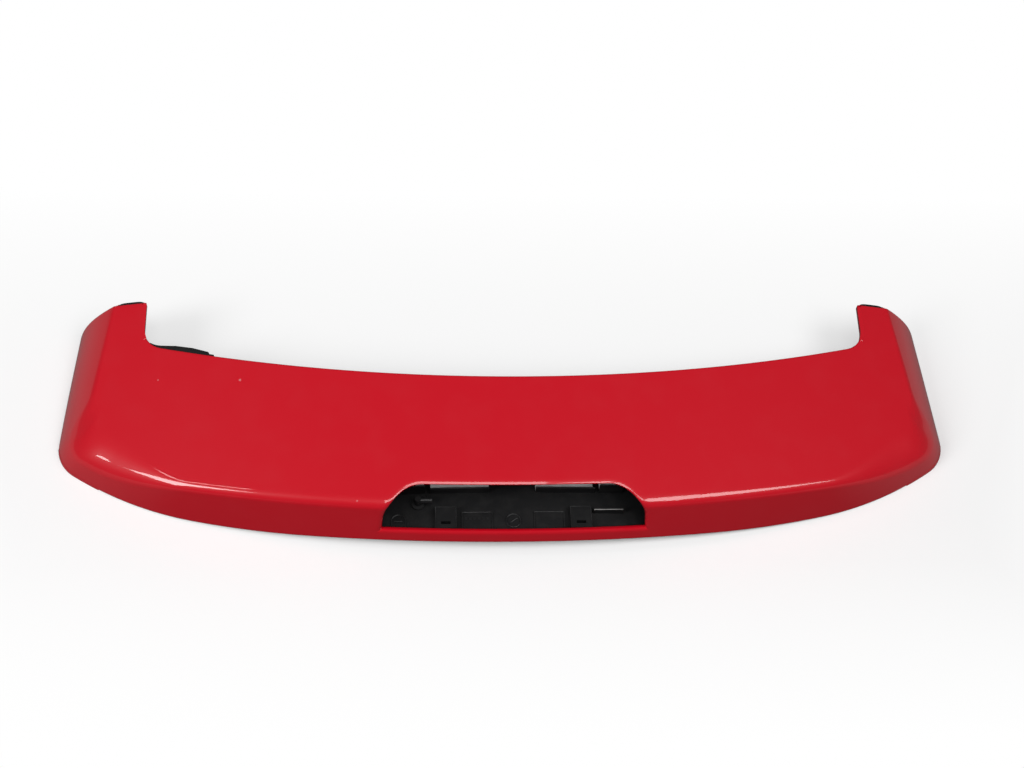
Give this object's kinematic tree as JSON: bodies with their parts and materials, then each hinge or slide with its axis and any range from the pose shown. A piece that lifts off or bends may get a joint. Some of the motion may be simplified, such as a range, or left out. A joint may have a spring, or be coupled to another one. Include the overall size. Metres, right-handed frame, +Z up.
{
  "type": "tailgate spoiler",
  "caption": "Roof-edge tailgate spoiler with a painted crowned skin, two side horns, a lamp aperture in the trailing edge and a black carrier with studs below.",
  "frame": {"origin": "middle of the overall box, on the surface that the lower side edges rest on", "axes": "+X to the right across the car, +Y forward from the trailing edge to the horn tips, +Z up"},
  "size_m": [1.18, 0.3276, 0.1171],
  "materials": {
    "red_paint": "gloss clear coat over red paint",
    "black_carrier": "fine moulded grain",
    "adhesive": "satin",
    "seal_rubber": "matte foam rubber",
    "zinc_steel": "zinc plated",
    "clip_plastic": "satin"
  },
  "bodies": {
    "root": {"outer_skin": "red_paint", "lower_carrier": "black_carrier", "bond_bead_rear": "adhesive", "bond_bead_front": "adhesive", "mounting_studs": "zinc_steel", "stud_seal_1": "seal_rubber", "stud_seal_2": "seal_rubber", "stud_seal_3": "seal_rubber", "stud_seal_4": "seal_rubber", "horn_clip_left": "clip_plastic", "horn_clip_right": "clip_plastic", "horn_tip_seal_left": "seal_rubber", "horn_tip_seal_right": "seal_rubber", "front_edge_seal": "seal_rubber", "washer_elbow": "black_carrier", "washer_grommet": "seal_rubber"}
  },
  "joints": []
}
